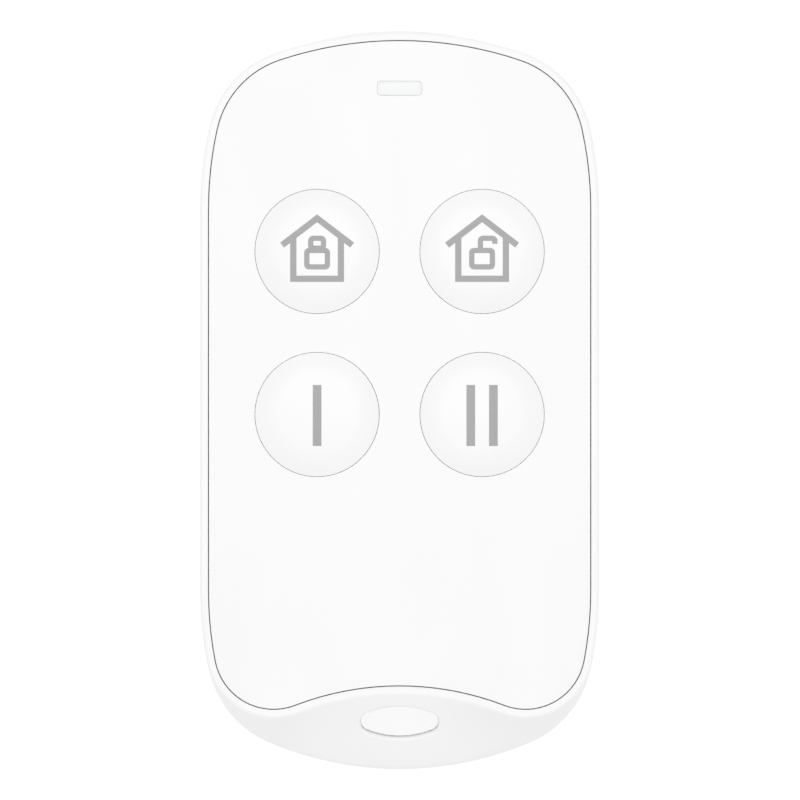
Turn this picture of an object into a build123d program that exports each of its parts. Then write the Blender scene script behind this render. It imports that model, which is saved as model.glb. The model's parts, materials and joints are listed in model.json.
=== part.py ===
from build123d import *
from math import atan2, cos, degrees, hypot, radians, sin, sqrt
import os

# Alarm key fob, lying on its back with its face up. X runs across the face, Y along the fob
# towards the indicator light, Z out of the face. The origin is on the back face, at the centre
# of the fob's box. All lengths are in millimetres, all angles in degrees.

# Outline of the two shells where they meet
fob_half_width = 17.8
fob_half_length = 33.0
end_depth = 16.0
fob_corner_radius = 9.1
fob_end_radius = 29.8

# Heights of the shells above the back face
split_height = 5.0
rim_height = 11.2

# Shell walls
wall = 1.5
rear_floor = 1.2
deck_thickness = 1.1
rear_edge_radius = 2.2
rear_draft = 3.0
parting_chamfer = 0.15
rim_rounding = 0.28

# Profile of the front shell from the split up to the lip: how far in, and how far up. It rises
# as a plain wall and rounds over into the apron, which is very slightly hollow, wherever the lip
# lies well in from the wall.
outer_profile_shares = [
    (0, 0),
    (0, 0.16),
    (0.012, 0.215),
    (0.05, 0.27),
    (0.13, 0.335),
    (0.36, 0.5),
    (0.62, 0.695),
    (0.85, 0.878),
    (0.96, 0.968),
    (1, 1),
]
inner_profile_shares = [(0, 0), (0.5, 0.38), (1, 1)]

# Key ring eyelet in the apron
eyelet_length = 6.9
eyelet_width = 2.7
eyelet_end_radius = 0.85
eyelet_rounding = 0.3
eyelet_wall = 1.55
key_bar_width = 2.95
eyelet_web = 1.85

# Face panel, set into the front shell inside the rim
side_rim = 0.75
end_rim = 0.94
panel_side_radius = 33.25
panel_corner_radius = 8.4
panel_end_radius = 33.7
wave_corner_radius = 5.3
wave_crest_radius = 25.9
panel_seam = 0.1
panel_edge_thickness = 1.1
crown_rise = 0.45
crown_radius_across = 300.0
crown_radius_along = 1500.0
panel_pin_radius = 0.6
panel_pin_length = 0.9
panel_pin_gap = 0.05
panel_pin_inset = 2.6

# Indicator window and light guide
window_length = 4.0
window_width = 1.3
window_corner_radius = 0.35
window_gap = 0.015
window_top_margin = 4.26
guide_flange_width = 0.7
guide_flange_thickness = 0.5
guide_led_gap = 0.3

# Four button caps: two columns and two rows
button_middle_gap = 3.64
button_edge_margin = 4.16
button_row_gap = 3.47
button_top_margin = 13.28
button_gap = 0.035
button_travel = 0.25
dome_crown_radius = 26.0
dome_crown_share = 0.65
dome_edge_slope = 27.0
cap_wall = 0.75
cap_edge_rounding = 0.1
cap_post_radius = 1.6
flange_width = 0.75
flange_thickness = 0.8
flange_gap = 0.05
flange_pocket_gap = 0.15
cap_key_width = 1.2
cap_key_gap = 0.12

# Silicone keypad mat
mat_thickness = 0.7
mat_deck_gap = 0.05
mat_border = 1.9
mat_corner_radius = 6.5
mat_collar_wall = 0.8
mat_collar_gap = 0.5
mat_post_gap = 0.6

# Circuit board
board_thickness = 0.8
board_edge_gap = 0.45
board_setback = 8.0
board_corner_radius = 2.0

# Push switches
switch_side = 5.2
switch_height = 1.5
switch_floor = 0.3
switch_well_radius = 2.05
switch_corner_radius = 0.4
switch_frame_thickness = 0.15
switch_leg_width = 1.6
switch_hole_gap = 0.06
plunger_radius = 1.0
plunger_flange_radius = 1.5
plunger_flange_gap = 0.04
plunger_rise = 0.5
plunger_cap_gap = 0.03
snap_dome_radius = 1.9
snap_dome_rest = 0.2
snap_dome_thickness = 0.08
snap_dome_gap = 0.01
snap_dome_profile_shares = [(1, 0), (0.75, 0.55), (0.4, 0.9), (0, 1)]

# Coin cell, a standard 20 mm by 3.2 mm size
cell_radius = 10.0
cell_height = 3.2
cell_can_wall = 0.3
cell_gasket_wall = 0.35
cell_cap_step = 0.5
cell_cap_wall = 0.25
cell_core_gap = 0.02
cell_edge_chamfer = 0.25
cell_board_gap = 0.6

# Cell contacts, bent from strip
clip_thickness = 0.25
clip_width = 4.0
clip_cell_gap = 0.05
clip_bend_radius = 0.6
clip_side_gap = 0.35
clip_foot_length = 1.8
contact_thickness = 0.15
contact_width = 2.4
contact_half_span = 4.0
contact_foot_length = 1.2
contact_bend_radius = 1.5

# Cell cradle and board rests in the rear shell
cradle_gap = 0.12
cradle_wall = 0.8
cradle_height = 2.2
cradle_opening = 5.4
rest_radius = 1.1
rest_inset = 4.1
rest_end_margin = 1.6
rest_top_margin = 9.2

# Screws and their posts
screw_side_margin = 4.5
screw_end_margin = 4.5
screw_radius = 0.9
screw_clearance = 0.25
screw_pilot_gap = 0.03
screw_head_radius = 1.8
screw_head_depth = 1.0
screw_recess = 0.2
screw_reach = 7.6
screw_cross_radius = 1.0
screw_cross_width = 0.4
screw_cross_depth = 0.6
post_radius = 2.3
post_gap = 0.05

# Tongue round the rear shell, with two snap ridges at the light end
tongue_height = 0.6
tongue_thickness = 0.7
tongue_gap = 0.06
ridge_length = 5.0
ridge_height = 0.3
ridge_depth = 0.25
ridge_offset = 6.0
ridge_slack = 0.06
tongue_root = 1.2

# Indicator light on the board
led_length = 3.2
led_width = 1.6
led_base_height = 0.5
led_lens_radius = 0.75
led_lens_height = 0.9
led_corner_radius = 0.2
led_lens_chamfer = 0.25

# Electronics below the lower buttons
chip_length = 6.5
chip_width = 4.4
chip_height = 1.1
chip_standoff = 0.15
chip_edge_chamfer = 0.25
chip_leads_per_side = 8
chip_lead_pitch = 0.65
chip_lead_width = 0.25
chip_lead_length = 1.0
chip_lead_thickness = 0.15
chip_end_margin = 4.2
crystal_length = 5.0
crystal_width = 3.2
crystal_height = 1.1
resonator_side = 3.8
resonator_height = 1.3
can_corner_radius = 0.6
can_top_chamfer = 0.15
can_side_margin = 5.9
passive_length = 1.6
passive_width = 0.8
resistor_height = 0.45
capacitor_height = 0.75
passive_pitch = 1.7
passive_count = 4
passive_window_margin = 4.2

# Loop antenna, bent from wire and soldered to the board
antenna_wire_radius = 0.3
antenna_rise = 1.3
antenna_half_width = 10.4
antenna_shoulder_half_width = 5.6
antenna_foot_margin = 8.8
antenna_shoulder_margin = 4.5
antenna_end_margin = 0.8
antenna_bend_radius = 0.9

# Cuts run this far past what they cut, and edges are found to within this distance
overrun = 2.0
tolerance = 0.001

# Sizes that follow from the ones above
panel_half_width = fob_half_width - side_rim
fob_side_radius = panel_side_radius + side_rim
straight_half = fob_half_length - end_depth
panel_top_reach = fob_half_length - end_rim
wave_crest_reach = fob_half_length - key_bar_width - eyelet_width - eyelet_web
eyelet_y = key_bar_width + eyelet_width / 2 - fob_half_length
panel_seat = rim_height - panel_edge_thickness
deck_underside = panel_seat - deck_thickness
crown_height = rim_height + crown_rise
button_radius = (2 * panel_half_width - button_middle_gap - 2 * button_edge_margin) / 4
button_x = button_middle_gap / 2 + button_radius
upper_row_y = panel_top_reach - button_top_margin - button_radius
lower_row_y = upper_row_y - 2 * button_radius - button_row_gap
window_y = panel_top_reach - window_top_margin
flange_radius = button_radius + flange_width
flange_top = panel_seat - flange_gap
flange_bottom = flange_top - flange_thickness
cell_top = rear_floor + clip_thickness + 2 * clip_cell_gap + cell_height
cell_bottom = cell_top - cell_height
board_bottom = cell_top + cell_board_gap
board_top = board_bottom + board_thickness
board_end_y = board_setback - wave_crest_reach
board_inset = wall + tongue_gap + tongue_thickness + board_edge_gap
board_upper_reach = fob_half_length - board_inset
cell_y = (board_upper_reach + board_end_y) / 2
can_x = fob_half_width - board_inset - can_side_margin
mat_top = deck_underside - mat_deck_gap
mat_bottom = mat_top - mat_thickness
switch_top = board_top + switch_height
snap_dome_rise = button_travel + snap_dome_rest
plunger_top = switch_top + switch_frame_thickness + plunger_rise
screw_x = panel_half_width - screw_side_margin
screw_y = screw_end_margin - wave_crest_reach
mat_hole_radius = cap_post_radius + mat_post_gap
collar_inner_radius = switch_side / sqrt(2) + mat_collar_gap
collar_outer_radius = collar_inner_radius + mat_collar_wall

BUTTONS = {
    "arm": (-button_x, upper_row_y),
    "disarm": (button_x, upper_row_y),
    "one": (-button_x, lower_row_y),
    "two": (button_x, lower_row_y),
}


# Outlines, written as edges from the lower end to the upper end of the right half

def arc(centre, radius, start, end):
    return CenterArc(centre, radius, start, end - start).edge()


def bearing(start, end):
    return degrees(atan2(end[1] - start[1], end[0] - start[0]))


def corner_centre(side_centre, side_reach, end_centre, end_reach):
    """Centre of the corner arc that lies between a side arc and an end arc."""
    step_x = end_centre[0] - side_centre[0]
    step_y = end_centre[1] - side_centre[1]
    apart = hypot(step_x, step_y)
    along = (side_reach**2 - end_reach**2 + apart**2) / (2 * apart)
    across = sqrt(side_reach**2 - along**2)
    return (
        side_centre[0] + (step_x * along - step_y * across) / apart,
        side_centre[1] + (step_y * along + step_x * across) / apart,
    )


def round_end(grow, half_width, reach, side_radius, corner_radius, end_radius):
    """Side, corner and end arc of a rounded upper end, from the side to the centre line."""
    side = (half_width - side_radius, straight_half)
    end = (0, reach - end_radius)
    corner = corner_centre(side, side_radius - corner_radius, end, end_radius - corner_radius)
    side_angle = bearing(side, corner)
    end_angle = bearing(end, corner)
    return [
        arc(side, side_radius + grow, 0, side_angle),
        arc(corner, corner_radius + grow, side_angle, end_angle),
        arc(end, end_radius + grow, end_angle, 90),
    ]


def wave_end(grow):
    """Crest, corner and side arc of the panel's lower end, from the centre line to the side."""
    side = (panel_half_width - panel_side_radius, -straight_half)
    crest = (0, -wave_crest_reach - wave_crest_radius)
    corner = corner_centre(
        side, panel_side_radius - wave_corner_radius, crest, wave_crest_radius + wave_corner_radius
    )
    side_angle = bearing(side, corner)
    crest_angle = bearing(crest, corner)
    return [
        arc(crest, wave_crest_radius - grow, 90, crest_angle),
        arc(corner, wave_corner_radius + grow, crest_angle - 180, side_angle),
        arc(side, panel_side_radius + grow, side_angle, 0),
    ]


def straight_side(lower, upper):
    return Edge.make_line(lower[-1] @ 1, upper[0] @ 0)


def panel_half(grow):
    lower = wave_end(grow)
    upper = round_end(
        grow,
        panel_half_width,
        panel_top_reach,
        panel_side_radius,
        panel_corner_radius,
        panel_end_radius,
    )
    return lower + [straight_side(lower, upper)] + upper


def fob_half(grow):
    upper = round_end(
        grow,
        fob_half_width,
        fob_half_length,
        fob_side_radius,
        fob_corner_radius,
        fob_end_radius,
    )
    lower = [edge.mirror(Plane.XZ).reversed() for edge in reversed(upper)]
    return lower + [straight_side(lower, upper)] + upper


def whole_wire(half, height):
    edges = half + [edge.mirror(Plane.YZ) for edge in half]
    return Pos(0, 0, height) * Wire(edges)


def outline_face(half, height=0.0):
    return Face(whole_wire(half, height))


def prism(half, bottom, top):
    return extrude(outline_face(half, bottom), top - bottom)


# Lofts between the fob's outline and the lip round the panel. Each outline is cut where the other
# one turns from its end arc into its corner, so that the apron comes out without creases.

def turn_share(edges):
    """How far along its first two edges an outline turns into its corner."""
    return edges[0].length / (edges[0].length + edges[1].length)


def cut_at(edges, share):
    """Edges of an outline, with a cut at a share of the length of the first two."""
    along = share * (edges[0].length + edges[1].length)
    index = 0 if along < edges[0].length else 1
    place = (along - index * edges[0].length) / edges[index].length
    pieces = [edges[index].trim(0, place), edges[index].trim(place, 1)]
    return edges[:index] + pieces + edges[index + 1:]


def matched(first, second):
    return cut_at(first, turn_share(second)), cut_at(second, turn_share(first))


def blended(first, second, share):
    """Curve that lies at a share of the way from one edge to another."""
    points = [a + (b - a) * share for a, b in ((first @ t, second @ t) for t in (0, 0.5, 1))]
    ends = [(first % t) * (1 - share) + (second % t) * share for t in (0, 1)]
    return Spline(*points, tangents=ends).edge()


def lower_region(end_edges):
    """Lower end of an outline, carried straight up its side to the middle and across."""
    side = end_edges[-1] @ 1
    middle = (side.X, 0)
    return end_edges + [Edge.make_line(side, middle), Edge.make_line(middle, (0, 0))]


def upper_region(end_edges):
    side = end_edges[0] @ 0
    middle = (side.X, 0)
    return [Edge.make_line((0, 0), middle), Edge.make_line(middle, side)] + end_edges


def lower_shell(low_half, low, high_half, high, profile_shares, ruled=False):
    """Lower half of a shell's form between two outlines, through a profile of shares."""
    low_edges, high_edges = matched(low_half[:3], high_half[:3])
    wires = []
    for inward, upward in profile_shares:
        if inward == 0:
            edges = low_edges
        elif inward == 1:
            edges = high_edges
        else:
            edges = [blended(a, b, inward) for a, b in zip(low_edges, high_edges)]
        wires.append(whole_wire(lower_region(edges), low + (high - low) * upward))
    return Part() + Solid.make_loft(wires, ruled=ruled)


def upper_shell(low_half, low, high_half, high):
    """Upper half of a shell's form, drawn straight from one outline to the other."""
    wires = [
        whole_wire(upper_region(low_half[-3:]), low),
        whole_wire(upper_region(high_half[-3:]), high),
    ]
    return Part() + Solid.make_loft(wires, ruled=True)


def centred_box(length, width, bottom, top, x=0.0, y=0.0):
    return Pos(x, y, bottom) * extrude(Rectangle(length, width), top - bottom)


def disc(radius, bottom, top, x=0.0, y=0.0):
    return Pos(x, y, bottom) * extrude(Circle(radius), top - bottom)


def shared(first, second):
    """What two pieces have in common, as solids alone."""
    return Part() + (first & second).solids()


def turned(points):
    """Solid of revolution about Z from points given as radius and height."""
    return revolve(Plane.XZ * make_face(Polyline(*points, close=True)), Axis.Z)


def lens_half(grow):
    """Right half of the eyelet: two long arcs that meet in a small rounded end."""
    half_length = eyelet_length / 2
    half_width = eyelet_width / 2
    reach = half_length - eyelet_end_radius
    long_radius = (reach**2 + half_width**2 - eyelet_end_radius**2) / (
        2 * (half_width - eyelet_end_radius)
    )
    end = (reach, eyelet_y)
    above = (0, eyelet_y + long_radius - half_width)
    below = (0, eyelet_y - long_radius + half_width)
    return [
        arc(above, long_radius + grow, -90, bearing(above, end)),
        arc(end, eyelet_end_radius + grow, bearing(above, end), bearing(below, end)),
        arc(below, long_radius + grow, bearing(below, end), 90),
    ]


def crown_drop(x, y):
    """How far the crowned face lies below its highest point."""
    across = crown_radius_across - sqrt(crown_radius_across**2 - x**2)
    along = crown_radius_along - sqrt(crown_radius_along**2 - y**2)
    return across + along


def crown_section(y):
    """Section of the space below the crowned face, square to the length of the fob."""
    half_width = fob_half_width + overrun
    bottom = deck_underside - overrun
    left = (-half_width, crown_height - crown_drop(half_width, y))
    right = (half_width, crown_height - crown_drop(half_width, y))
    crown = ThreePointArc(left, (0, crown_height - crown_drop(0, y)), right)
    base = Polyline(right, (half_width, bottom), (-half_width, bottom), left)
    return Plane.XZ.offset(-y) * make_face(crown.edges() + base.edges())


def crown_block():
    """Everything below the crowned face, down past the panel's seat."""
    reach = fob_half_length + overrun
    return loft([crown_section(-reach), crown_section(0), crown_section(reach)])


def window_shape(grow):
    return RectangleRounded(
        window_length + 2 * grow, window_width + 2 * grow, window_corner_radius + grow
    )


def window_prism(grow, bottom, top):
    return Pos(0, window_y, bottom) * extrude(window_shape(grow), top - bottom)


def edges_at(part, height, test):
    found = [e for e in part.edges() if abs(e.center().Z - height) < tolerance and test(e.center())]
    return ShapeList(found)


def eyelet_edges(part, low, high=rim_height):
    """Edges round the mouth of the eyelet, between two heights."""
    found = []
    for edge in part.edges():
        ends = [edge @ 0, edge @ 1]
        inside = all(abs(p.X) < eyelet_length / 2 + tolerance for p in ends)
        inside = inside and all(abs(p.Y - eyelet_y) < eyelet_width / 2 + tolerance for p in ends)
        level = all(low < p.Z < high for p in ends)
        if inside and level:
            found.append(edge)
    return ShapeList(found)


def parting_edges(part):
    """Outer edges of a shell on the plane where the shells meet."""
    faces = [f for f in part.faces() if abs(f.center().Z - split_height) < tolerance]
    ring = max(faces, key=lambda f: f.bounding_box().size.Y)
    return ring.outer_wire().edges()


# Pins of the panel and rests of the board

row_middle_y = (upper_row_y + lower_row_y) / 2
panel_pin_x = panel_half_width - panel_pin_inset
lower_pin_y = lower_row_y - flange_radius - panel_pin_inset
PANEL_PINS = [
    (-panel_pin_x, row_middle_y),
    (panel_pin_x, row_middle_y),
    (-button_x, lower_pin_y),
    (button_x, lower_pin_y),
]
rest_x = fob_half_width - rest_inset
BOARD_RESTS = [
    (side * rest_x, y)
    for side in (-1, 1)
    for y in (board_end_y + rest_end_margin, board_upper_reach - rest_top_margin)
]
SCREWS = [(-screw_x, screw_y), (screw_x, screw_y)]


# Shells

def snap_ridges(grow):
    """Two low ridges on the outer face of the tongue, at the light end."""
    face = -wall - tongue_gap
    middle = split_height + tongue_height / 2
    low = middle - ridge_height / 2 - grow
    high = middle + ridge_height / 2 + grow
    ring = prism(fob_half(face + ridge_depth + grow), low, high) - prism(fob_half(face), low, high)
    length = ridge_length + 2 * grow
    ridges = [
        ring & centred_box(length, fob_half_length, low, high, side * ridge_offset, fob_half_length)
        for side in (-1, 1)
    ]
    return ridges[0] + ridges[1]


def rounded_rim(half_shell):
    """Round the top edge of half a shell, but not where it meets the other half."""
    return fillet(edges_at(half_shell, rim_height, lambda c: abs(c.Y) > tolerance), rim_rounding)


def front_outer():
    fob = fob_half(0)
    lip = panel_half(side_rim)
    lower = lower_shell(fob, split_height, lip, rim_height, outer_profile_shares)
    return rounded_rim(lower) + rounded_rim(upper_shell(fob, split_height, lip, rim_height))


def front_inner():
    shelf = split_height + tongue_height + tongue_gap
    fob = fob_half(-wall)
    top = panel_half(side_rim - wall)
    inner = lower_shell(fob, shelf, top, deck_underside, inner_profile_shares, ruled=True)
    inner += upper_shell(fob, shelf, top, deck_underside)
    return inner + prism(fob, split_height - overrun, shelf)


def front_housing():
    outer = front_outer()
    housing = outer - front_inner()
    housing += outer & prism(lens_half(eyelet_wall), split_height, rim_height)
    housing -= prism(panel_half(panel_seam / 2), panel_seat, rim_height + overrun)
    for x, y in SCREWS:
        housing += disc(post_radius, split_height + post_gap, panel_seat - deck_thickness / 2, x, y)
        pilot = screw_radius + screw_pilot_gap
        housing -= disc(pilot, split_height - overrun, screw_reach + screw_clearance, x, y)
    for x, y in BOARD_RESTS:
        housing += disc(rest_radius, board_top, panel_seat - deck_thickness / 2, x, y)
    for x, y in BUTTONS.values():
        pocket = flange_radius + flange_pocket_gap
        housing -= disc(pocket, deck_underside - overrun, panel_seat + overrun, x, y)
    for x, y in PANEL_PINS:
        hole = panel_pin_radius + panel_pin_gap
        housing -= disc(hole, deck_underside - overrun, panel_seat + overrun, x, y)
    housing -= window_prism(window_gap, deck_underside - overrun, panel_seat)
    flange_seat = panel_seat - guide_flange_thickness - window_gap
    housing -= window_prism(guide_flange_width + window_gap, flange_seat, panel_seat)
    housing -= snap_ridges(ridge_slack)
    housing -= prism(lens_half(0), split_height - overrun, rim_height + overrun)
    housing = fillet(eyelet_edges(housing, split_height + eyelet_rounding), eyelet_rounding)
    return chamfer(parting_edges(housing), parting_chamfer)


def rear_cover():
    outline = outline_face(fob_half(0), split_height)
    cover = extrude(outline, split_height, dir=(0, 0, -1), taper=rear_draft)
    cover = fillet(edges_at(cover, 0, lambda c: True), rear_edge_radius)
    inside = outline_face(fob_half(-wall), split_height)
    cavity = extrude(inside, split_height - rear_floor, dir=(0, 0, -1), taper=rear_draft)
    cavity = fillet(edges_at(cavity, rear_floor, lambda c: True), rear_edge_radius - wall / 2)
    body = cover - cavity
    inner_face = -wall - tongue_gap - tongue_thickness
    root = split_height - tongue_root
    tongue_top = split_height + tongue_height
    ring = prism(fob_half(-wall / 2), root, split_height)
    ring += prism(fob_half(-wall - tongue_gap), split_height, tongue_top)
    ring -= prism(fob_half(inner_face), root, tongue_top)
    ring += snap_ridges(0)
    ring -= prism(lens_half(eyelet_wall + tongue_gap), split_height, tongue_top)
    body += ring
    body += cover & prism(lens_half(eyelet_wall), 0, split_height)
    body += cover & cell_cradle()
    for x, y in BOARD_RESTS:
        body += disc(rest_radius, rear_floor - wall / 2, board_bottom, x, y)
    for x, y in SCREWS:
        body += disc(post_radius, rear_floor - wall / 2, split_height, x, y)
        body -= screw_hole(x, y)
    body -= prism(lens_half(0), -overrun, split_height + overrun)
    body = fillet(eyelet_edges(body, -tolerance, eyelet_rounding), eyelet_rounding)
    return chamfer(parting_edges(body), parting_chamfer)


def cell_cradle():
    inner = cell_radius + cradle_gap
    top = rear_floor + cradle_height
    ring = disc(inner + cradle_wall, 0, top, 0, cell_y) - disc(inner, rear_floor, top, 0, cell_y)
    reach = 2 * (inner + cradle_wall + overrun)
    return ring - centred_box(reach, cradle_opening, rear_floor, top, 0, cell_y)


def screw_hole(x, y):
    hole = screw_radius + screw_clearance
    head = screw_head_radius + screw_clearance
    seat = screw_recess
    foot = screw_recess + screw_head_depth
    points = [(0, -overrun), (head, -overrun), (head, seat), (hole, foot)]
    points += [(hole, split_height + overrun), (0, split_height + overrun)]
    return Pos(x, y) * turned(points)


def cover_screws():
    seat = screw_recess
    foot = screw_recess + screw_head_depth
    tip = screw_reach - screw_radius
    points = [(0, seat), (screw_head_radius, seat), (screw_radius, foot)]
    points += [(screw_radius, tip), (0, screw_reach)]
    screw = turned(points)
    for turn in (0, 90):
        slot = centred_box(2 * screw_cross_radius, screw_cross_width, 0, seat + screw_cross_depth)
        screw -= Rot(0, 0, turn) * slot
    return [Pos(x, y) * screw for x, y in SCREWS]


# Face

def key_rib(grow, bottom, top):
    """Rib below the panel that keeps a cap from turning; the cap's flange is notched for it."""
    near = button_radius + cap_key_gap - grow
    far = flange_radius + grow
    width = cap_key_width + 2 * grow
    return centred_box(width, far - near, bottom, top, 0, -(near + far) / 2)


def face_panel():
    blank = prism(panel_half(-panel_seam / 2), panel_seat, crown_height + overrun)
    blank = shared(blank, crown_block())
    for x, y in BUTTONS.values():
        blank -= disc(button_radius + button_gap, panel_seat, crown_height + overrun, x, y)
    blank -= window_prism(0, panel_seat - overrun, crown_height + overrun)
    for x, y in BUTTONS.values():
        blank += Pos(x, y) * key_rib(0, flange_bottom, panel_seat + cap_key_gap)
    for x, y in PANEL_PINS:
        blank += disc(panel_pin_radius, panel_seat - panel_pin_length, panel_seat, x, y)
    return blank


def light_guide():
    foot = board_top + led_base_height + led_lens_height + guide_led_gap
    guide = shared(window_prism(-window_gap, foot, crown_height + overrun), crown_block())
    flange_bottom_face = panel_seat - guide_flange_thickness
    return guide + window_prism(guide_flange_width, flange_bottom_face, panel_seat)


# Buttons

dome_reach = button_radius - cap_edge_rounding * (1 - sin(radians(dome_edge_slope)))
dome_crown_reach = dome_crown_share * button_radius
dome_crown_slope = degrees(atan2(dome_crown_reach, sqrt(dome_crown_radius**2 - dome_crown_reach**2)))
dome_edge_radius = (dome_reach - dome_crown_reach) / (
    sin(radians(dome_edge_slope)) - sin(radians(dome_crown_slope))
)
dome_edge_rise = dome_edge_radius * (
    cos(radians(dome_crown_slope)) - cos(radians(dome_edge_slope))
)
dome_crown_rise = dome_crown_radius * (1 - cos(radians(dome_crown_slope)))
dome_top = crown_height + dome_edge_rise + dome_crown_rise


def button_cap():
    """Cap about its own axis: domed top, hollow underside, flange, and a post on the plunger."""
    wall_top = crown_height - cap_edge_rounding * cos(radians(dome_edge_slope))
    rim_centre = (button_radius - cap_edge_rounding, wall_top)
    edge_centre = (
        dome_reach - dome_edge_radius * sin(radians(dome_edge_slope)),
        crown_height - dome_edge_radius * cos(radians(dome_edge_slope)),
    )
    crown_centre = (0, dome_top - dome_crown_radius)
    edge_start = 90 - dome_edge_slope
    crown_start = 90 - dome_crown_slope
    dome = [
        arc(rim_centre, cap_edge_rounding, 0, edge_start),
        arc(edge_centre, dome_edge_radius, edge_start, crown_start),
        arc(crown_centre, dome_crown_radius, crown_start, 90),
    ]
    inner = button_radius - cap_wall
    post_bottom = plunger_top + plunger_cap_gap
    outline = Polyline(
        dome[-1] @ 1,
        (0, post_bottom),
        (cap_post_radius, post_bottom),
        (cap_post_radius, dome_top - cap_wall),
        (inner, crown_height - cap_wall / 2),
        (inner, flange_bottom),
        (flange_radius, flange_bottom),
        (flange_radius, flange_top),
        (button_radius, flange_top),
        dome[0] @ 0,
    )
    cap = revolve(Plane.XZ * make_face(outline.edges() + dome), Axis.Z)
    return cap - key_rib(cap_key_gap, flange_bottom, flange_top)


def plunger():
    flange_low = board_top + switch_floor + snap_dome_rise + snap_dome_gap
    flange_high = switch_top - plunger_flange_gap
    points = [(0, flange_low), (plunger_flange_radius, flange_low)]
    points += [(plunger_flange_radius, flange_high), (plunger_radius, flange_high)]
    points += [(plunger_radius, plunger_top), (0, plunger_top)]
    return turned(points)


def snap_dome():
    """Thin pressed dome on the switch floor, as a stack of shallow cones."""
    low = board_top + switch_floor
    under_radius = snap_dome_radius - 2 * snap_dome_thickness
    under_rise = snap_dome_rise - snap_dome_thickness
    over = [
        (snap_dome_radius * across, low + snap_dome_rise * up)
        for across, up in snap_dome_profile_shares
    ]
    under = [
        (under_radius * across, low + under_rise * up) for across, up in snap_dome_profile_shares
    ]
    return turned(over + under[::-1])


# Switches on the board

def switch_base():
    blank = extrude(RectangleRounded(switch_side, switch_side, switch_corner_radius), switch_height)
    base = Pos(0, 0, board_top) * blank
    return base - disc(switch_well_radius, board_top + switch_floor, switch_top)


def switch_frame():
    """Sheet metal cover with two legs that reach the board."""
    top = switch_top + switch_frame_thickness
    outer = switch_side + 2 * switch_frame_thickness
    frame = centred_box(outer, switch_leg_width, board_top, top)
    frame -= centred_box(switch_side, switch_leg_width, board_top, switch_top)
    plate = extrude(RectangleRounded(switch_side, switch_side, switch_corner_radius), top - switch_top)
    frame += Pos(0, 0, switch_top) * plate
    return frame - disc(plunger_radius + switch_hole_gap, switch_top, top)


def at_buttons(piece):
    return [Pos(x, y) * piece for x, y in BUTTONS.values()]


# Inside

def keypad_mat():
    half_width = button_x + collar_outer_radius + mat_border
    top = upper_row_y + collar_outer_radius + mat_border
    bottom = lower_row_y - collar_outer_radius - mat_border
    plate = extrude(RectangleRounded(2 * half_width, top - bottom, mat_corner_radius), mat_thickness)
    mat = Pos(0, (top + bottom) / 2, mat_bottom) * plate
    for x, y in BUTTONS.values():
        mat += disc(collar_outer_radius, board_top, mat_top, x, y)
    for x, y in BUTTONS.values():
        mat -= disc(collar_inner_radius, board_top, mat_bottom, x, y)
        mat -= disc(mat_hole_radius, mat_bottom, mat_top, x, y)
    return mat


def circuit_board():
    blank = prism(fob_half(-board_inset), board_bottom, board_top)
    length = board_upper_reach - board_end_y + overrun
    middle = board_end_y + length / 2
    board = blank & centred_box(2 * fob_half_width, length, board_bottom, board_top, 0, middle)
    corners = [
        e for e in board.edges().filter_by(Axis.Z) if abs(e.center().Y - board_end_y) < tolerance
    ]
    return fillet(corners, board_corner_radius)


def indicator_led():
    base = extrude(RectangleRounded(led_length, led_width, led_corner_radius), led_base_height)
    return Pos(0, window_y, board_top) * base


def led_lens():
    low = board_top + led_base_height
    barrel = disc(led_lens_radius, low, low + led_lens_height, 0, window_y)
    return chamfer(edges_at(barrel, low + led_lens_height, lambda c: True), led_lens_chamfer)


def chip_lead():
    """One bent lead, from the side of the chip's body down to the board."""
    low = board_top
    high = board_top + chip_standoff + chip_height / 2
    start = chip_width / 2 - chip_edge_chamfer
    knee = chip_width / 2 + chip_lead_length / 2
    end = chip_width / 2 + chip_lead_length
    thick = chip_lead_thickness
    points = [(start, high), (knee, high), (knee, low + thick), (end, low + thick), (end, low)]
    points += [(knee - thick, low), (knee - thick, high - thick), (start, high - thick)]
    profile = Plane.YZ * make_face(Polyline(*points, close=True))
    return extrude(profile, chip_lead_width / 2, both=True)


def encoder_chip():
    bottom = board_top + chip_standoff
    body = centred_box(chip_length, chip_width, bottom, bottom + chip_height)
    body = chamfer(body.edges().group_by(Axis.Z)[-1], chip_edge_chamfer)
    first = -chip_lead_pitch * (chip_leads_per_side - 1) / 2
    lead = chip_lead()
    for index in range(chip_leads_per_side):
        place = Pos(first + index * chip_lead_pitch, 0)
        body += place * lead
        body += place * Rot(0, 0, 180) * lead
    return Pos(0, board_end_y + chip_end_margin) * body


def small_can(length, width, height, x):
    can = extrude(RectangleRounded(length, width, can_corner_radius), height)
    can = chamfer(can.edges().group_by(Axis.Z)[-1], can_top_chamfer)
    return Pos(x, board_end_y + chip_end_margin, board_top) * can


def passives(side, height):
    """Row of small parts on one side of the centre line, below the indicator."""
    y = window_y - passive_window_margin
    places = [side * (index + 0.5) * passive_pitch for index in range(passive_count)]
    return [centred_box(passive_width, passive_length, board_top, board_top + height, x, y) for x in places]


def antenna_loop():
    foot_y = board_upper_reach - antenna_foot_margin
    shoulder_y = board_upper_reach - antenna_shoulder_margin
    end_y = board_upper_reach - antenna_end_margin
    high = board_top + antenna_rise
    right = [
        (antenna_shoulder_half_width, end_y, high),
        (antenna_half_width, shoulder_y, high),
        (antenna_half_width, foot_y, high),
        (antenna_half_width, foot_y, board_top),
    ]
    left = [(-x, y, z) for x, y, z in reversed(right)]
    path = FilletPolyline(*left, *right, radius=antenna_bend_radius)
    return sweep(Plane(path @ 0, z_dir=path % 0) * Circle(antenna_wire_radius), path)


# Coin cell and contacts

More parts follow.
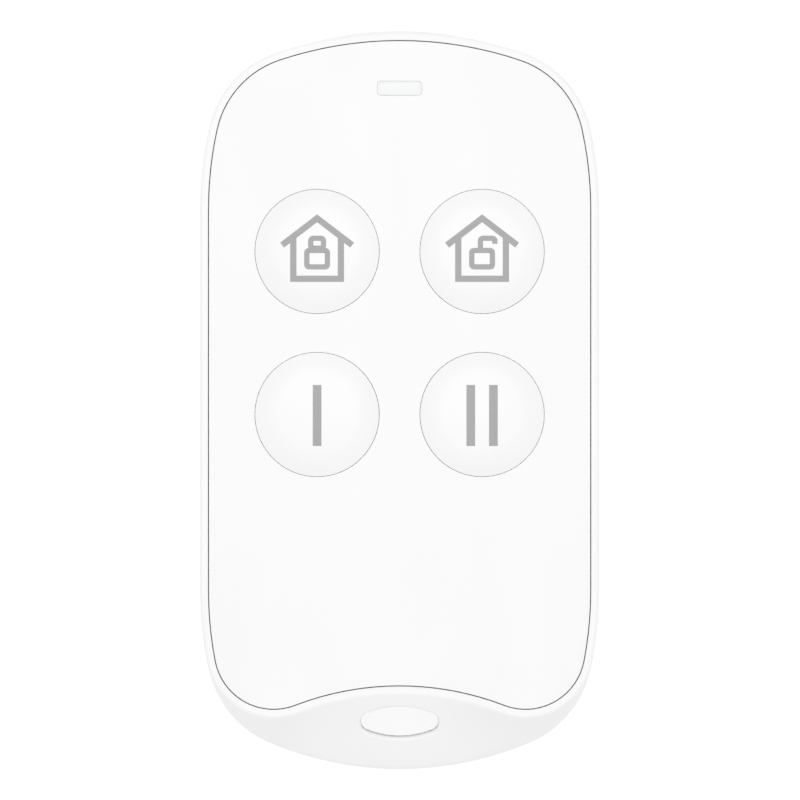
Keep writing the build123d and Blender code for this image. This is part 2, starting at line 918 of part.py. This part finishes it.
cell_rim = cell_top - cell_can_wall
cell_inside = cell_bottom + cell_can_wall
can_inner_radius = cell_radius - cell_can_wall
cap_radius = can_inner_radius - cell_gasket_wall


def cell_can():
    points = [(0, cell_bottom), (cell_radius, cell_bottom), (cell_radius, cell_rim)]
    points += [(can_inner_radius, cell_rim), (can_inner_radius, cell_inside), (0, cell_inside)]
    can = turned(points)
    can = chamfer(edges_at(can, cell_bottom, lambda c: True), cell_edge_chamfer)
    return Pos(0, cell_y) * can


def cell_gasket():
    ring = disc(can_inner_radius, cell_inside, cell_rim, 0, cell_y)
    return ring - disc(cap_radius, cell_inside, cell_rim, 0, cell_y)


def stepped_disc(inset, low, cut):
    """Inside or outside of the cell's cap: a wide disc with a narrower one on top."""
    wide = cap_radius - inset
    narrow = wide - cell_cap_step
    shoulder = cell_rim - cell_cap_step / 2 - cut
    points = [(0, low), (wide, low), (wide, shoulder), (narrow, cell_rim - cut)]
    points += [(narrow, cell_top - cut), (0, cell_top - cut)]
    return Pos(0, cell_y) * turned(points)


def cell_cap():
    return stepped_disc(0, cell_inside, 0) - stepped_disc(cell_cap_wall, cell_inside, cell_cap_wall)


def cell_core():
    """Electrodes and separator, packed inside the cap."""
    inset = cell_cap_wall + cell_core_gap
    return stepped_disc(inset, cell_inside, inset)


def strip(points, width, thickness, bend_radius):
    """Strip bent along points in a vertical plane."""
    path = FilletPolyline(*points, radius=bend_radius)
    section = Plane(path @ 0, x_dir=width_direction(points), z_dir=path % 0)
    return sweep(section * Rectangle(width, thickness), path)


def width_direction(points):
    return (0, 1, 0) if points[0][1] == points[-1][1] else (1, 0, 0)


def positive_clip():
    leg = cell_radius + clip_side_gap + clip_thickness / 2
    high = board_bottom - clip_thickness / 2
    low = cell_bottom - clip_cell_gap - clip_thickness / 2
    right = [(leg, cell_y, low), (leg, cell_y, high), (leg + clip_foot_length, cell_y, high)]
    left = [(-x, y, z) for x, y, z in reversed(right)]
    return strip(left + right, clip_width, clip_thickness, clip_bend_radius)


def negative_contact():
    high = board_bottom - contact_thickness / 2
    low = cell_top + contact_thickness / 2
    foot = cell_y - contact_half_span
    middle = (high + low) / 2
    points = [(0, foot, high), (0, foot + contact_foot_length, high), (0, cell_y, low)]
    points += [(0, cell_y + contact_foot_length, low), (0, cell_y + contact_half_span, middle)]
    return strip(points, contact_width, contact_thickness, contact_bend_radius)


def save(name, piece):
    solids = piece if isinstance(piece, list) else [piece]
    solids = [s for item in solids for s in item.solids()]
    shape = solids[0] if len(solids) == 1 else Compound(children=solids)
    shape.label = name
    export_step(shape, f"parts/{name}.step")


def main():
    os.makedirs("parts", exist_ok=True)
    save("front_housing", front_housing())
    save("rear_cover", rear_cover())
    save("face_panel", face_panel())
    save("light_guide", light_guide())
    for name, (x, y) in BUTTONS.items():
        save(f"{name}_button", Pos(x, y) * button_cap())
        save(f"{name}_plunger", Pos(x, y) * plunger())
        save(f"{name}_snap_dome", Pos(x, y) * snap_dome())
    save("switch_bases", at_buttons(switch_base()))
    save("switch_frames", at_buttons(switch_frame()))
    save("keypad_mat", keypad_mat())
    save("circuit_board", circuit_board())
    save("indicator_led", indicator_led())
    save("led_lens", led_lens())
    save("encoder_chip", encoder_chip())
    save("crystal_can", small_can(crystal_length, crystal_width, crystal_height, -can_x))
    save("resonator_can", small_can(resonator_side, resonator_side, resonator_height, can_x))
    save("chip_resistors", passives(-1, resistor_height))
    save("chip_capacitors", passives(1, capacitor_height))
    save("antenna_loop", antenna_loop())
    save("cell_can", cell_can())
    save("cell_gasket", cell_gasket())
    save("cell_cap", cell_cap())
    save("cell_core", cell_core())
    save("positive_clip", positive_clip())
    save("negative_contact", negative_contact())
    save("cover_screws", cover_screws())


main()
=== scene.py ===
import json
from math import cos, pi, sin

import bmesh
import bpy
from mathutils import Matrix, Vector

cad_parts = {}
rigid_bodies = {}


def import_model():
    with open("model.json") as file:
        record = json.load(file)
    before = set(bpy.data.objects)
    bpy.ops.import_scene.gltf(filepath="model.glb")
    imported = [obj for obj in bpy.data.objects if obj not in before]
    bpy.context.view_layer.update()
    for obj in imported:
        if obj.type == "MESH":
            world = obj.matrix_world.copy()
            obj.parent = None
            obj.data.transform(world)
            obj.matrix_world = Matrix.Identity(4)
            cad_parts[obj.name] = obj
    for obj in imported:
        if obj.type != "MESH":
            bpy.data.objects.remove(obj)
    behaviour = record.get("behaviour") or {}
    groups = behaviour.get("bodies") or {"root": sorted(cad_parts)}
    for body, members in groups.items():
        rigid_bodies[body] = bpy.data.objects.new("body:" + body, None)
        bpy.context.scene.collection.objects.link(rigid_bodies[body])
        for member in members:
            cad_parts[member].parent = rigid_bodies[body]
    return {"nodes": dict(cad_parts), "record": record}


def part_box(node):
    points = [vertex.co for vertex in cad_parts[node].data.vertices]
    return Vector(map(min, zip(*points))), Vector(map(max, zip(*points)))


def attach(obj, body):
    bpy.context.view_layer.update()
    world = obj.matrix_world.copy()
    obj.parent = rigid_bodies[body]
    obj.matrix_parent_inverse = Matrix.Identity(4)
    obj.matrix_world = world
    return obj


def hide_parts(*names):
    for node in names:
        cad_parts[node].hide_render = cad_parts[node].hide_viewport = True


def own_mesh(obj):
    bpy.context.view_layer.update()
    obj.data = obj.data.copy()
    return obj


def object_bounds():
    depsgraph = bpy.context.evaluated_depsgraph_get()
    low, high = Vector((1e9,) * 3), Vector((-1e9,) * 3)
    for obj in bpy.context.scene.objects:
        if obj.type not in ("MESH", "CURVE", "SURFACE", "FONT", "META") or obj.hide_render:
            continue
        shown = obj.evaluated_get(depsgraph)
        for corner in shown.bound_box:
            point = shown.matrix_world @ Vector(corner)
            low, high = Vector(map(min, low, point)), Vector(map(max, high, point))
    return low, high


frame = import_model()
cad_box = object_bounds()

# The photograph is 800 pixels square, looks straight down on the face, and has the light end up.
# The camera sees from a tenth of its distance to ten times that distance.
photo_pixels = 800
metres_per_pixel = 0.08918e-3
fob_centre_pixel = (399.6, 400.0)
camera_distance = 2.8
sensor_width = 36.0
clip_ratio = 10

# Printed signs on the caps, measured from the centre of each cap in pixels of the photograph
sign_stroke = 6.2
lock_stroke = 5.2
house_wall_x = 23.8
house_floor_y = -27.6
house_eave = (35.0, 6.1)
house_apex_y = 32.9
lock_half_width = 10.3
lock_bottom_y = -15.7
lock_top_y = 0.7
lock_corner = 2.6
shackle_half_width = 6.4
shackle_low_y = 3.0
shackle_top_y = 12.9
shackle_corner = 3.0
open_shackle_left = -1.7
open_shackle_right = 12.8
open_shackle_end_y = 7.4
numeral_width = 8.6
numeral_half_height = 30.5
numeral_y = -1.2
numeral_half_spacing = 11.3

# Ink: height over the cap, what each further stroke adds, depth in the cap, longest step, steps
# in a corner, points round a strip, and the height from which the points drop onto the cap
ink_height = 0.012e-3
ink_layer = 0.002e-3
ink_depth = 0.01e-3
ink_step = 0.22e-3
corner_steps = 5
strip_points = 5
drop_height = 0.01

# Snap springs below the plungers: thickness of the sheet, its dome and the steps of its mesh
spring_sheet = 0.08e-3
spring_dome_power = 2.6
spring_rings = 10
spring_segments = 48

# Colours are linear and lie between 0 and 1
SHELL_WHITE = (0.962, 0.962, 0.962)
PANEL_WHITE = (0.95, 0.95, 0.95)
CAP_WHITE = (0.96, 0.96, 0.96)
WINDOW_WHITE = (0.91, 0.915, 0.92)
INK_GREY = (0.43, 0.42, 0.42)
SILICONE_GREY = (0.72, 0.74, 0.77)
MASK_GREEN = (0.04, 0.24, 0.1)
TRACK_GREEN = (0.08, 0.36, 0.16)
NYLON_BLACK = (0.05, 0.05, 0.055)
EPOXY_BLACK = (0.035, 0.035, 0.04)
CERAMIC = (0.78, 0.75, 0.68)
LENS_EPOXY = (0.9, 0.87, 0.78)
ELECTRODE_GREY = (0.16, 0.16, 0.17)
TINNED_STEEL = (0.62, 0.61, 0.58)
SPRING_STEEL = (0.66, 0.64, 0.6)
NICKEL = (0.7, 0.69, 0.66)
ZINC = (0.55, 0.56, 0.58)
TINNED_COPPER = (0.72, 0.68, 0.6)

# Noise in the materials: scale in features per metre, detail in octaves, stretch along x, y and z
even = (1.0, 1.0, 1.0)
flow_scale = 160.0
flow_detail = 2.0
flow_stretch = (1.0, 0.35, 1.0)
grain_detail = 4.0
line_scale = 900.0
line_detail = 5.0
drawn_stretch = (1.0, 12.0, 12.0)
stamped_stretch = (6.0, 6.0, 6.0)
patch_scale = 260.0
patch_detail = 2.0
track_scale = 160.0
track_distortion = 5.0
weave_scale = 4000.0
weave_detail = 2.0
ink_grain_scale = 7000.0
ink_grain_detail = 3.0
blend_start_share = 0.35
blend_end_share = 0.65

# Roughness, relief and depth of the materials
plastic_ior = 1.5
plastic_spread = 0.05
plastic_relief = 0.01e-3
milky_share = 0.25
milky_depth = 0.4e-3
metal_dull_share = 0.86
metal_smoother = 0.1
metal_rougher = 0.12
metal_strength = 0.15
metal_relief = 0.008e-3
mask_roughness = (0.3, 0.42)
track_strength = 0.4
track_relief = 0.02e-3
ink_dark_share = 0.94
ink_roughness = (0.5, 0.62)
ink_strength = 0.1
ink_relief = 0.004e-3

# Plastics by slot: name, colour, roughness, scale and strength of the grain, share of the darkest
PLASTICS = {
    "shell_plastic": ("shell_plastic_moulded", SHELL_WHITE, 0.42, 5000.0, 0.12, 0.985),
    "panel_plastic": ("panel_plastic_satin", PANEL_WHITE, 0.34, 7000.0, 0.06, 0.985),
    "cap_plastic": ("cap_plastic_satin", CAP_WHITE, 0.32, 7000.0, 0.05, 0.985),
    "window_plastic": ("window_plastic_milky", WINDOW_WHITE, 0.25, 5000.0, 0.05, 0.985),
    "silicone": ("silicone_soft", SILICONE_GREY, 0.7, 3000.0, 0.2, 0.93),
    "switch_plastic": ("switch_nylon", NYLON_BLACK, 0.55, 4000.0, 0.25, 0.8),
    "cell_electrodes": ("cell_electrode_powder", ELECTRODE_GREY, 0.85, 5000.0, 0.5, 0.7),
    "chip_epoxy": ("chip_epoxy_moulded", EPOXY_BLACK, 0.6, 3500.0, 0.3, 0.75),
    "led_package": ("led_package_ceramic", CERAMIC, 0.5, 3500.0, 0.2, 0.94),
    "led_epoxy": ("led_epoxy_clear", LENS_EPOXY, 0.15, 5000.0, 0.05, 0.985),
}
MILKY_SLOTS = ("window_plastic", "led_epoxy")

# Metals by slot: name, colour, roughness and stretch of the lines
METALS = {
    "sheet_steel": ("sheet_steel_tinned", TINNED_STEEL, 0.35, drawn_stretch),
    "spring_steel": ("spring_steel_rolled", SPRING_STEEL, 0.28, drawn_stretch),
    "cell_steel": ("cell_steel_nickel", NICKEL, 0.22, stamped_stretch),
    "screw_steel": ("screw_steel_zinc", ZINC, 0.3, stamped_stretch),
    "tinned_wire": ("tinned_wire_drawn", TINNED_COPPER, 0.3, drawn_stretch),
}

# Light, floor and backdrop
plain_white = (1.0, 1.0, 1.0, 1.0)
world_level = 0.8
key_level = 0.2
key_position = (0.0, 0.06, 0.4)
key_size = 0.3
floor_size = 6.0
floor_roughness = 0.9
floor_tone = 0.96
floor_shadow_share = 0.25
floor_glow_share = 0.88


# Materials

def new_material(name):
    material = bpy.data.materials.new(name)
    material.use_nodes = True
    tree = material.node_tree
    return material, tree, tree.nodes["Principled BSDF"]


def noise(tree, scale, detail, stretch=even):
    """Noise in the object's own space, with features about one part in scale of a metre."""
    place = tree.nodes.new("ShaderNodeTexCoord")
    mapping = tree.nodes.new("ShaderNodeMapping")
    mapping.inputs["Scale"].default_value = stretch
    texture = tree.nodes.new("ShaderNodeTexNoise")
    texture.inputs["Scale"].default_value = scale
    texture.inputs["Detail"].default_value = detail
    tree.links.new(place.outputs["Object"], mapping.inputs["Vector"])
    tree.links.new(mapping.outputs["Vector"], texture.inputs["Vector"])
    return texture.outputs["Fac"]


def mixed_colour(tree, share, low, high):
    """Colour between low and high, plain near both ends of the share."""
    ramp = tree.nodes.new("ShaderNodeValToRGB")
    ramp.color_ramp.elements[0].position = blend_start_share
    ramp.color_ramp.elements[1].position = blend_end_share
    ramp.color_ramp.elements[0].color = (*low, 1.0)
    ramp.color_ramp.elements[1].color = (*high, 1.0)
    tree.links.new(share, ramp.inputs["Fac"])
    return ramp.outputs["Color"]


def ranged(tree, value, low, high):
    """Value between 0 and 1, moved to lie between low and high."""
    node = tree.nodes.new("ShaderNodeMapRange")
    node.inputs["To Min"].default_value = low
    node.inputs["To Max"].default_value = high
    tree.links.new(value, node.inputs["Value"])
    return node.outputs["Result"]


def bumped(tree, shader, height, strength, depth):
    bump = tree.nodes.new("ShaderNodeBump")
    bump.inputs["Strength"].default_value = strength
    bump.inputs["Distance"].default_value = depth
    tree.links.new(height, bump.inputs["Height"])
    tree.links.new(bump.outputs["Normal"], shader.inputs["Normal"])


def shade(colour, factor):
    return tuple(channel * factor for channel in colour)


def plastic(name, colour, roughness, grain_scale, grain_strength, dark_share):
    """Moulded plastic: faint colour drift from the mould's flow, and a fine eroded grain."""
    material, tree, shader = new_material(name)
    flow = noise(tree, flow_scale, flow_detail, flow_stretch)
    grain = noise(tree, grain_scale, grain_detail)
    drift = mixed_colour(tree, flow, shade(colour, dark_share), colour)
    tree.links.new(drift, shader.inputs["Base Color"])
    spread = ranged(tree, grain, roughness - plastic_spread, roughness + plastic_spread)
    tree.links.new(spread, shader.inputs["Roughness"])
    bumped(tree, shader, grain, grain_strength, plastic_relief)
    shader.inputs["IOR"].default_value = plastic_ior
    return material


def made_milky(material):
    """Light sinks a little way into a translucent window or lens."""
    shader = material.node_tree.nodes["Principled BSDF"]
    shader.inputs["Subsurface Weight"].default_value = milky_share
    shader.inputs["Subsurface Radius"].default_value = even
    shader.inputs["Subsurface Scale"].default_value = milky_depth


def metal(name, colour, roughness, stretch):
    """Rolled, drawn or stamped metal with fine lines and dull patches."""
    material, tree, shader = new_material(name)
    lines = noise(tree, line_scale, line_detail, stretch)
    patches = noise(tree, patch_scale, patch_detail)
    tone = mixed_colour(tree, patches, shade(colour, metal_dull_share), colour)
    tree.links.new(tone, shader.inputs["Base Color"])
    spread = ranged(tree, lines, roughness - metal_smoother, roughness + metal_rougher)
    tree.links.new(spread, shader.inputs["Roughness"])
    bumped(tree, shader, lines, metal_strength, metal_relief)
    shader.inputs["Metallic"].default_value = 1.0
    return material


def laminate(name):
    """Solder mask over copper: wandering tracks show as lighter, raised lines."""
    material, tree, shader = new_material(name)
    place = tree.nodes.new("ShaderNodeTexCoord")
    tracks = tree.nodes.new("ShaderNodeTexWave")
    tracks.wave_type = "BANDS"
    tracks.inputs["Scale"].default_value = track_scale
    tracks.inputs["Distortion"].default_value = track_distortion
    tracks.inputs["Detail"].default_value = 0.0
    tree.links.new(place.outputs["Object"], tracks.inputs["Vector"])
    weave = noise(tree, weave_scale, weave_detail)
    colour = mixed_colour(tree, tracks.outputs["Fac"], MASK_GREEN, TRACK_GREEN)
    tree.links.new(colour, shader.inputs["Base Color"])
    tree.links.new(ranged(tree, weave, *mask_roughness), shader.inputs["Roughness"])
    bumped(tree, shader, tracks.outputs["Fac"], track_strength, track_relief)
    return material


def ink(name):
    """Pad-printed ink: a slightly uneven grey film with soft pinholes."""
    material, tree, shader = new_material(name)
    grain = noise(tree, ink_grain_scale, ink_grain_detail)
    tone = mixed_colour(tree, grain, shade(INK_GREY, ink_dark_share), INK_GREY)
    tree.links.new(tone, shader.inputs["Base Color"])
    tree.links.new(ranged(tree, grain, *ink_roughness), shader.inputs["Roughness"])
    bumped(tree, shader, grain, ink_strength, ink_relief)
    return material


def node_materials():
    """Finished material of every material slot in the record."""
    made = {slot: plastic(*row) for slot, row in PLASTICS.items()}
    made |= {slot: metal(*row) for slot, row in METALS.items()}
    made["board_laminate"] = laminate("board_solder_mask")
    for slot in MILKY_SLOTS:
        made_milky(made[slot])
    return made


def dress_nodes(made):
    """Give every node the finished material of its slot."""
    for part in frame["record"]["subparts"]:
        node = frame["nodes"][part["node"]]
        node.data.materials.clear()
        node.data.materials.append(made[part["material_slot"]])


# Signs on the caps. A sign is a list of strokes, and a stroke a line of points in pixels.

def rounded(points, radius, closed):
    """Line of points with its corners turned into short arcs."""
    count = len(points)
    line = []
    for index, point in enumerate(points):
        corner = Vector(point)
        if not closed and index in (0, count - 1):
            line.append(corner)
            continue
        before = (Vector(points[index - 1]) - corner).normalized()
        after = (Vector(points[(index + 1) % count]) - corner).normalized()
        for step in range(corner_steps + 1):
            share = step / corner_steps
            pull = radius * (1 - share) ** 2
            push = radius * share**2
            line.append(corner + before * pull + after * push)
    return line


def stroke_edges(line, width, closed):
    """Left and right edge points of a stroke, mitred at its corners."""
    count = len(line)
    left, right = [], []
    for index, point in enumerate(line):
        has_before = closed or index > 0
        has_after = closed or index < count - 1
        before = (point - line[index - 1]).normalized() if has_before else None
        after = (line[(index + 1) % count] - point).normalized() if has_after else None
        before = before or after
        after = after or before
        across = Vector((-before.y - after.y, before.x + after.x)).normalized()
        reach = width / 2 / across.dot(Vector((-before.y, before.x)))
        left.append(point + across * reach)
        right.append(point - across * reach)
    return left, right


def stepped(edge, steps, closed):
    """Edge line with extra points, so that it can follow the cap."""
    ends = edge[1:] + edge[:1] if closed else edge[1:]
    line = []
    for start, end, count in zip(edge, ends, steps):
        line += [start + (end - start) * (i / count) for i in range(count)]
    return line if closed else line + [edge[-1]]


def on_cap(cap, centre, point, lift):
    """Point of a sign, dropped from above onto the cap's face."""
    x = centre.x + point.x * metres_per_pixel
    y = centre.y + point.y * metres_per_pixel
    above = Vector((x, y, centre.z + drop_height))
    hit, place, _normal, _index = cap.ray_cast(above, Vector((0, 0, -1)))
    if not hit:
        raise ValueError(f"a sign runs off {cap.name}")
    return place + Vector((0, 0, lift))


def stroke_faces(cap, centre, stroke, lift, vertices, faces):
    """Thin closed strip of ink along a line: three points on top at each step and two below."""
    line, width, closed = stroke
    left, right = stroke_edges(line, width, closed)
    ends = line[1:] + line[:1] if closed else line[1:]
    longest = ink_step / metres_per_pixel
    steps = [max(1, round((b - a).length / longest)) for a, b in zip(line, ends)]
    lefts = stepped(left, steps, closed)
    rights = stepped(right, steps, closed)
    first = len(vertices)
    for a, b in zip(lefts, rights):
        middle = (a + b) / 2
        for point in (a, middle, b):
            vertices.append(on_cap(cap, centre, point, lift))
        for point in (b, a):
            vertices.append(on_cap(cap, centre, point, -ink_depth))
    rows = len(lefts)
    last = rows if closed else rows - 1
    for row in range(last):
        here = first + strip_points * row
        there = first + strip_points * ((row + 1) % rows)
        for corner in range(strip_points):
            follow = (corner + 1) % strip_points
            faces.append((here + corner, here + follow, there + follow, there + corner))
    if not closed:
        end = first + strip_points * last
        faces.append(tuple(first + corner for corner in reversed(range(strip_points))))
        faces.append(tuple(end + corner for corner in range(strip_points)))


def house():
    eave_x, eave_y = house_eave
    slope = (house_apex_y - eave_y) / eave_x
    wall_top = house_apex_y - house_wall_x * slope
    walls = [
        (-house_wall_x, wall_top),
        (-house_wall_x, house_floor_y),
        (house_wall_x, house_floor_y),
        (house_wall_x, wall_top),
    ]
    roof = [(-eave_x, eave_y), (0, house_apex_y), (eave_x, eave_y)]
    return [
        ([Vector(p) for p in walls], sign_stroke, False),
        ([Vector(p) for p in roof], sign_stroke, False),
    ]


def box_line(half_width, low, high):
    return [(-half_width, low), (half_width, low), (half_width, high), (-half_width, high)]


def lock_body():
    line = rounded(box_line(lock_half_width, lock_bottom_y, lock_top_y), lock_corner, True)
    return (line, lock_stroke, True)


def closed_shackle():
    line = rounded(box_line(shackle_half_width, shackle_low_y, shackle_top_y), shackle_corner, True)
    return (line, lock_stroke, True)


def open_shackle():
    points = [
        (open_shackle_left, lock_top_y),
        (open_shackle_left, shackle_top_y),
        (open_shackle_right, shackle_top_y),
        (open_shackle_right, open_shackle_end_y),
    ]
    return (rounded(points, shackle_corner, False), lock_stroke, False)


def numeral(bar_places):
    high = numeral_y + numeral_half_height
    low = numeral_y - numeral_half_height
    return [([Vector((x, high)), Vector((x, low))], numeral_width, False) for x in bar_places]


def signs():
    return {
        "arm": house() + [lock_body(), closed_shackle()],
        "disarm": house() + [lock_body(), open_shackle()],
        "one": numeral([0]),
        "two": numeral([-numeral_half_spacing, numeral_half_spacing]),
    }


def outward_mesh(name, vertices, faces):
    mesh = bpy.data.meshes.new(name)
    mesh.from_pydata(vertices, [], faces)
    mesh.validate()
    form = bmesh.new()
    form.from_mesh(mesh)
    bmesh.ops.recalc_face_normals(form, faces=form.faces)
    form.to_mesh(mesh)
    form.free()
    return mesh


def print_signs():
    film = ink("sign_ink")
    for name, strokes in signs().items():
        cap = frame["nodes"][f"{name}_button"]
        low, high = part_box(f"{name}_button")
        centre = Vector(((low.x + high.x) / 2, (low.y + high.y) / 2, high.z))
        vertices, faces = [], []
        for layer, stroke in enumerate(strokes):
            stroke_faces(cap, centre, stroke, ink_height + layer * ink_layer, vertices, faces)
        sign = bpy.data.objects.new(f"{name}_sign", outward_mesh(f"{name}_sign", vertices, faces))
        sign.data.materials.append(film)
        bpy.context.scene.collection.objects.link(sign)
        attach(sign, f"{name}_button")


# Snap springs. Each stands for its node, which is hidden, and is fixed to the body that holds its
# button.

def domed_line(radius, rise):
    """Points from the rim to the middle of a dome: distance from the middle, and height."""
    shares = [1 - ring / spring_rings for ring in range(spring_rings + 1)]
    return [(radius * share, rise * (1 - share**spring_dome_power)) for share in shares]


def domed_sheet(name, centre, radius, rise):
    """Closed sheet with a domed top and underside, which meet at its rim."""
    top_line = domed_line(radius, rise)
    under_line = domed_line(radius - 2 * spring_sheet, rise - spring_sheet)
    vertices, faces, starts = [], [], []
    for line in (top_line, under_line):
        starts.append(len(vertices))
        for across, up in line[:-1]:
            for turn in range(spring_segments):
                angle = 2 * pi * turn / spring_segments
                x = centre.x + across * cos(angle)
                y = centre.y + across * sin(angle)
                vertices.append((x, y, centre.z + up))
        vertices.append((centre.x, centre.y, centre.z + line[-1][1]))
    for turn in range(spring_segments):
        follow = (turn + 1) % spring_segments
        for start in starts:
            for ring in range(spring_rings - 1):
                here = start + ring * spring_segments
                there = here + spring_segments
                faces.append((here + turn, here + follow, there + follow, there + turn))
            last = start + (spring_rings - 1) * spring_segments
            faces.append((last + turn, last + follow, last + spring_segments))
        top, under = starts
        faces.append((top + turn, top + follow, under + follow, under + turn))
    mesh = outward_mesh(name, vertices, faces)
    mesh.shade_smooth()
    return mesh


def set_springs(steel):
    for joint in frame["record"]["behaviour"]["joints"]:
        for row in joint["deforming_nodes"]:
            name = row["node"].replace("dome", "spring")
            low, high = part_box(row["node"])
            foot = Vector(((low.x + high.x) / 2, (low.y + high.y) / 2, low.z))
            height = high.z - low.z
            sheet = domed_sheet(name, foot, (high.x - low.x) / 2, height)
            spring = bpy.data.objects.new(name, sheet)
            spring.data.materials.append(steel)
            bpy.context.scene.collection.objects.link(spring)
            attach(spring, joint["parent"])
            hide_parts(row["node"])
            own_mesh(spring)


# Stage

def seen_directly(tree):
    """1 for rays from the camera and for those seen in gloss or through glass, and 0 for others."""
    path = tree.nodes.new("ShaderNodeLightPath")
    first = tree.nodes.new("ShaderNodeMath")
    first.operation = "MAXIMUM"
    tree.links.new(path.outputs["Is Camera Ray"], first.inputs[0])
    tree.links.new(path.outputs["Is Glossy Ray"], first.inputs[1])
    both = tree.nodes.new("ShaderNodeMath")
    both.operation = "MAXIMUM"
    tree.links.new(first.outputs[0], both.inputs[0])
    tree.links.new(path.outputs["Is Transmission Ray"], both.inputs[1])
    return both.outputs[0]


def white_floor():
    """Pale floor that shows as white where nothing shades it, and keeps the object's shadow."""
    half = floor_size / 2
    corners = [(-half, -half, 0), (half, -half, 0), (half, half, 0), (-half, half, 0)]
    mesh = bpy.data.meshes.new("floor")
    mesh.from_pydata(corners, [], [(0, 1, 2, 3)])
    material, tree, shader = new_material("floor_paper")
    seen = seen_directly(tree)
    shader.inputs["Roughness"].default_value = floor_roughness
    shader.inputs["Specular IOR Level"].default_value = 0.0
    tone = mixed_colour(tree, seen, (floor_tone,) * 3, (floor_shadow_share,) * 3)
    tree.links.new(tone, shader.inputs["Base Color"])
    shader.inputs["Emission Color"].default_value = plain_white
    tree.links.new(ranged(tree, seen, 0.0, floor_glow_share), shader.inputs["Emission Strength"])
    mesh.materials.append(material)
    floor = bpy.data.objects.new("floor", mesh)
    bpy.context.scene.collection.objects.link(floor)


def studio_world():
    """Even soft light all round, seen as plain white behind the floor."""
    world = bpy.data.worlds.new("studio")
    world.use_nodes = True
    bpy.context.scene.world = world
    tree = world.node_tree
    soft = tree.nodes["Background"]
    soft.inputs["Strength"].default_value = world_level
    soft.inputs["Color"].default_value = plain_white
    white = tree.nodes.new("ShaderNodeBackground")
    white.inputs["Strength"].default_value = 1.0
    white.inputs["Color"].default_value = plain_white
    mix = tree.nodes.new("ShaderNodeMixShader")
    tree.links.new(seen_directly(tree), mix.inputs["Fac"])
    tree.links.new(soft.outputs["Background"], mix.inputs[1])
    tree.links.new(white.outputs["Background"], mix.inputs[2])
    tree.links.new(mix.outputs["Shader"], tree.nodes["World Output"].inputs["Surface"])


def key_lamp():
    """Soft disc above the face, bright enough to light a surface right below it by key_level."""
    lamp = bpy.data.lights.new("key", "AREA")
    lamp.shape = "DISK"
    lamp.size = key_size
    place = Vector(key_position)
    lamp.energy = key_level * pi**2 * place.length_squared
    key = bpy.data.objects.new("key", lamp)
    bpy.context.scene.collection.objects.link(key)
    key.location = place
    key.rotation_euler = (-place).to_track_quat("-Z", "Y").to_euler()


def photo_camera():
    camera = bpy.data.cameras.new("photo")
    camera.sensor_width = sensor_width
    low, high = cad_box
    face_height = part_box("face_panel")[1].z
    camera.lens = sensor_width * camera_distance / (photo_pixels * metres_per_pixel)
    camera.clip_start = camera_distance / clip_ratio
    camera.clip_end = camera_distance * clip_ratio
    eye = bpy.data.objects.new("photo", camera)
    bpy.context.scene.collection.objects.link(eye)
    across = (photo_pixels / 2 - fob_centre_pixel[0]) * metres_per_pixel
    along = (fob_centre_pixel[1] - photo_pixels / 2) * metres_per_pixel
    middle = (low + high) / 2
    eye.location = (middle.x + across, middle.y + along, face_height + camera_distance)
    bpy.context.scene.camera = eye


photo_camera()
finishes = node_materials()
dress_nodes(finishes)
print_signs()
set_springs(finishes["spring_steel"])
white_floor()
studio_world()
key_lamp()
bpy.context.scene.view_settings.view_transform = "Standard"
